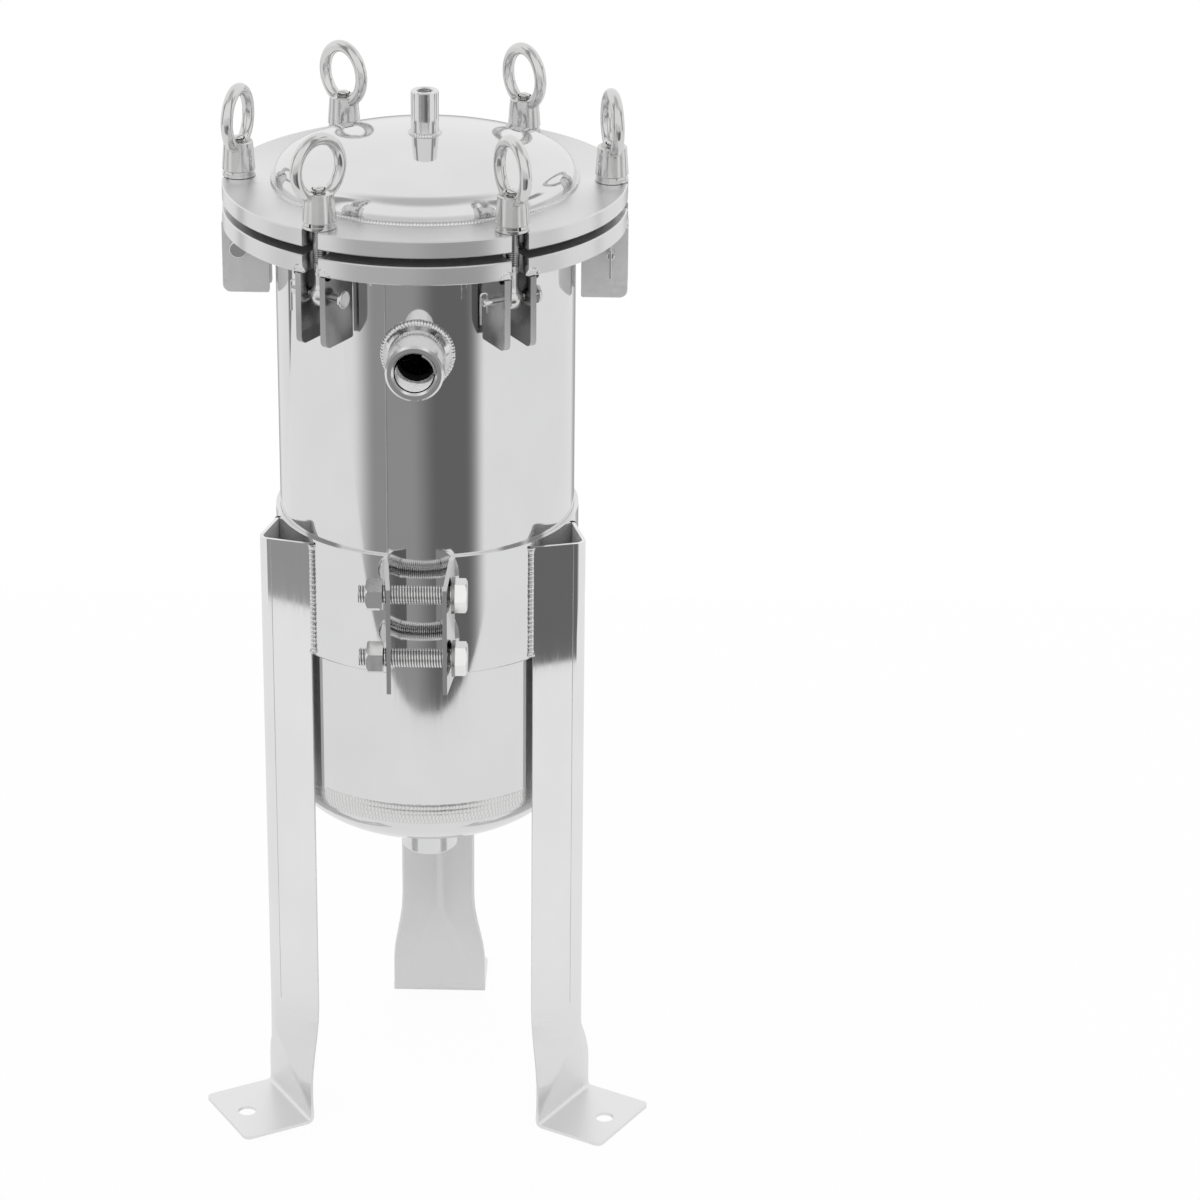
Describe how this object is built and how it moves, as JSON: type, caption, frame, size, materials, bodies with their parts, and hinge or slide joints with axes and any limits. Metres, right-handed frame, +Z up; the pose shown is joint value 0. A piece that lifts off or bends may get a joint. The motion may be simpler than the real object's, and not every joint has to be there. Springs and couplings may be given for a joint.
{
  "type": "bag filter housing",
  "caption": "Stainless bag filter housing: cylindrical vessel on clamp-band legs, side inlet, bottom outlet, domed lid held by swing bolts with eye nuts.",
  "frame": {"origin": "on the vessel axis at floor level, in the middle of the three foot holes", "axes": "+Z up along the vessel axis; -Y is the front, where the inlet and the clamp split are; +X to the right seen from the front"},
  "size_m": [0.342, 0.3275, 0.8031],
  "materials": {
    "polished_steel": "mirror polished stainless steel",
    "turned_steel": "machined and buffed stainless steel",
    "sheet_steel": "satin stainless sheet",
    "fastener_steel": "bright stainless steel fasteners",
    "dark_steel": "darker stainless washers",
    "inner_steel": "plain stainless, not polished",
    "gasket_rubber": "matt black rubber",
    "bag_felt": "off-white needle felt"
  },
  "bodies": {
    "housing": {"body_shell": "polished_steel", "bottom_head": "polished_steel", "body_flange": "turned_steel", "inlet_coupling": "turned_steel", "outlet_coupling": "turned_steel", "basket_seat_ring": "inner_steel", "filter_basket": "inner_steel", "basket_rim": "inner_steel", "basket_handle": "inner_steel", "bag_ring": "inner_steel", "filter_bag": "bag_felt", "flange_gasket": "gasket_rubber", "clamp_band": "sheet_steel", "clamp_bolts": "fastener_steel", "clamp_nuts": "fastener_steel", "clamp_washers": "dark_steel", "leg_left": "sheet_steel", "leg_right": "sheet_steel", "leg_rear": "sheet_steel", "hairpin_clips": "fastener_steel", "lug_pair_1": "sheet_steel", "lug_pair_2": "sheet_steel", "lug_pair_3": "sheet_steel", "lug_pair_4": "sheet_steel", "lug_pair_5": "sheet_steel", "lug_pair_6": "sheet_steel", "pivot_pin_1": "fastener_steel", "pivot_pin_2": "fastener_steel", "pivot_pin_3": "fastener_steel", "pivot_pin_4": "fastener_steel", "pivot_pin_5": "fastener_steel", "pivot_pin_6": "fastener_steel"},
    "lid": {"lid_plate": "turned_steel", "lid_dome": "polished_steel", "vent_pipe": "polished_steel"},
    "bolt_1": {"swing_bolt_1": "fastener_steel"},
    "washers_1": {"flat_washer_1": "fastener_steel", "spring_washer_1": "fastener_steel"},
    "nut_1": {"eye_nut_1": "fastener_steel"},
    "bolt_2": {"swing_bolt_2": "fastener_steel"},
    "washers_2": {"flat_washer_2": "fastener_steel", "spring_washer_2": "fastener_steel"},
    "nut_2": {"eye_nut_2": "fastener_steel"},
    "bolt_3": {"swing_bolt_3": "fastener_steel"},
    "washers_3": {"flat_washer_3": "fastener_steel", "spring_washer_3": "fastener_steel"},
    "nut_3": {"eye_nut_3": "fastener_steel"},
    "bolt_4": {"swing_bolt_4": "fastener_steel"},
    "washers_4": {"flat_washer_4": "fastener_steel", "spring_washer_4": "fastener_steel"},
    "nut_4": {"eye_nut_4": "fastener_steel"},
    "bolt_5": {"swing_bolt_5": "fastener_steel"},
    "washers_5": {"flat_washer_5": "fastener_steel", "spring_washer_5": "fastener_steel"},
    "nut_5": {"eye_nut_5": "fastener_steel"},
    "bolt_6": {"swing_bolt_6": "fastener_steel"},
    "washers_6": {"flat_washer_6": "fastener_steel", "spring_washer_6": "fastener_steel"},
    "nut_6": {"eye_nut_6": "fastener_steel"}
  },
  "joints": [
    {"name": "lid_lift", "type": "slide", "parent": "housing", "child": "lid", "axis": [0, 0, 1], "range_m": [0, 0.012]},
    {"name": "bolt_swing_1", "type": "hinge", "parent": "housing", "child": "bolt_1", "pos_m": [0.135, 0, 0.685], "axis": [0, 1, 0], "range_deg": [0, 50.1]},
    {"name": "nut_travel_1", "type": "slide", "parent": "bolt_1", "child": "washers_1", "axis": [0, 0, 1], "range_m": [0, 0.01905]},
    {"name": "nut_turn_1", "type": "hinge", "parent": "washers_1", "child": "nut_1", "pos_m": [0.135, 0, 0.741], "axis": [0, 0, 1], "continuous": true},
    {"name": "bolt_swing_2", "type": "hinge", "parent": "housing", "child": "bolt_2", "pos_m": [0.0675, 0.11691, 0.685], "axis": [-0.866, 0.5, 0], "range_deg": [0, 50.1]},
    {"name": "nut_travel_2", "type": "slide", "parent": "bolt_2", "child": "washers_2", "axis": [0, 0, 1], "range_m": [0, 0.01905]},
    {"name": "nut_turn_2", "type": "hinge", "parent": "washers_2", "child": "nut_2", "pos_m": [0.0675, 0.11691, 0.741], "axis": [0, 0, 1], "continuous": true},
    {"name": "bolt_swing_3", "type": "hinge", "parent": "housing", "child": "bolt_3", "pos_m": [-0.0675, 0.11691, 0.685], "axis": [-0.866, -0.5, 0], "range_deg": [0, 50.1]},
    {"name": "nut_travel_3", "type": "slide", "parent": "bolt_3", "child": "washers_3", "axis": [0, 0, 1], "range_m": [0, 0.01905]},
    {"name": "nut_turn_3", "type": "hinge", "parent": "washers_3", "child": "nut_3", "pos_m": [-0.0675, 0.11691, 0.741], "axis": [0, 0, 1], "continuous": true},
    {"name": "bolt_swing_4", "type": "hinge", "parent": "housing", "child": "bolt_4", "pos_m": [-0.135, 0, 0.685], "axis": [0, -1, 0], "range_deg": [0, 50.1]},
    {"name": "nut_travel_4", "type": "slide", "parent": "bolt_4", "child": "washers_4", "axis": [0, 0, 1], "range_m": [0, 0.01905]},
    {"name": "nut_turn_4", "type": "hinge", "parent": "washers_4", "child": "nut_4", "pos_m": [-0.135, 0, 0.741], "axis": [0, 0, 1], "continuous": true},
    {"name": "bolt_swing_5", "type": "hinge", "parent": "housing", "child": "bolt_5", "pos_m": [-0.0675, -0.11691, 0.685], "axis": [0.866, -0.5, 0], "range_deg": [0, 50.1]},
    {"name": "nut_travel_5", "type": "slide", "parent": "bolt_5", "child": "washers_5", "axis": [0, 0, 1], "range_m": [0, 0.01905]},
    {"name": "nut_turn_5", "type": "hinge", "parent": "washers_5", "child": "nut_5", "pos_m": [-0.0675, -0.11691, 0.741], "axis": [0, 0, 1], "continuous": true},
    {"name": "bolt_swing_6", "type": "hinge", "parent": "housing", "child": "bolt_6", "pos_m": [0.0675, -0.11691, 0.685], "axis": [0.866, 0.5, 0], "range_deg": [0, 50.1]},
    {"name": "nut_travel_6", "type": "slide", "parent": "bolt_6", "child": "washers_6", "axis": [0, 0, 1], "range_m": [0, 0.01905]},
    {"name": "nut_turn_6", "type": "hinge", "parent": "washers_6", "child": "nut_6", "pos_m": [0.0675, -0.11691, 0.741], "axis": [0, 0, 1], "continuous": true}
  ],
  "couplings": [
    {"joint": "bolt_swing_1", "follows": "lid_lift", "rad_per_m": 72.722},
    {"joint": "nut_travel_1", "follows": "lid_lift", "ratio": 1.5833},
    {"joint": "bolt_swing_2", "follows": "lid_lift", "rad_per_m": 72.722},
    {"joint": "nut_travel_2", "follows": "lid_lift", "ratio": 1.5833},
    {"joint": "bolt_swing_3", "follows": "lid_lift", "rad_per_m": 72.722},
    {"joint": "nut_travel_3", "follows": "lid_lift", "ratio": 1.5833},
    {"joint": "bolt_swing_4", "follows": "lid_lift", "rad_per_m": 72.722},
    {"joint": "nut_travel_4", "follows": "lid_lift", "ratio": 1.5833},
    {"joint": "bolt_swing_5", "follows": "lid_lift", "rad_per_m": 72.722},
    {"joint": "nut_travel_5", "follows": "lid_lift", "ratio": 1.5833},
    {"joint": "bolt_swing_6", "follows": "lid_lift", "rad_per_m": 72.722},
    {"joint": "nut_travel_6", "follows": "lid_lift", "ratio": 1.5833}
  ]
}
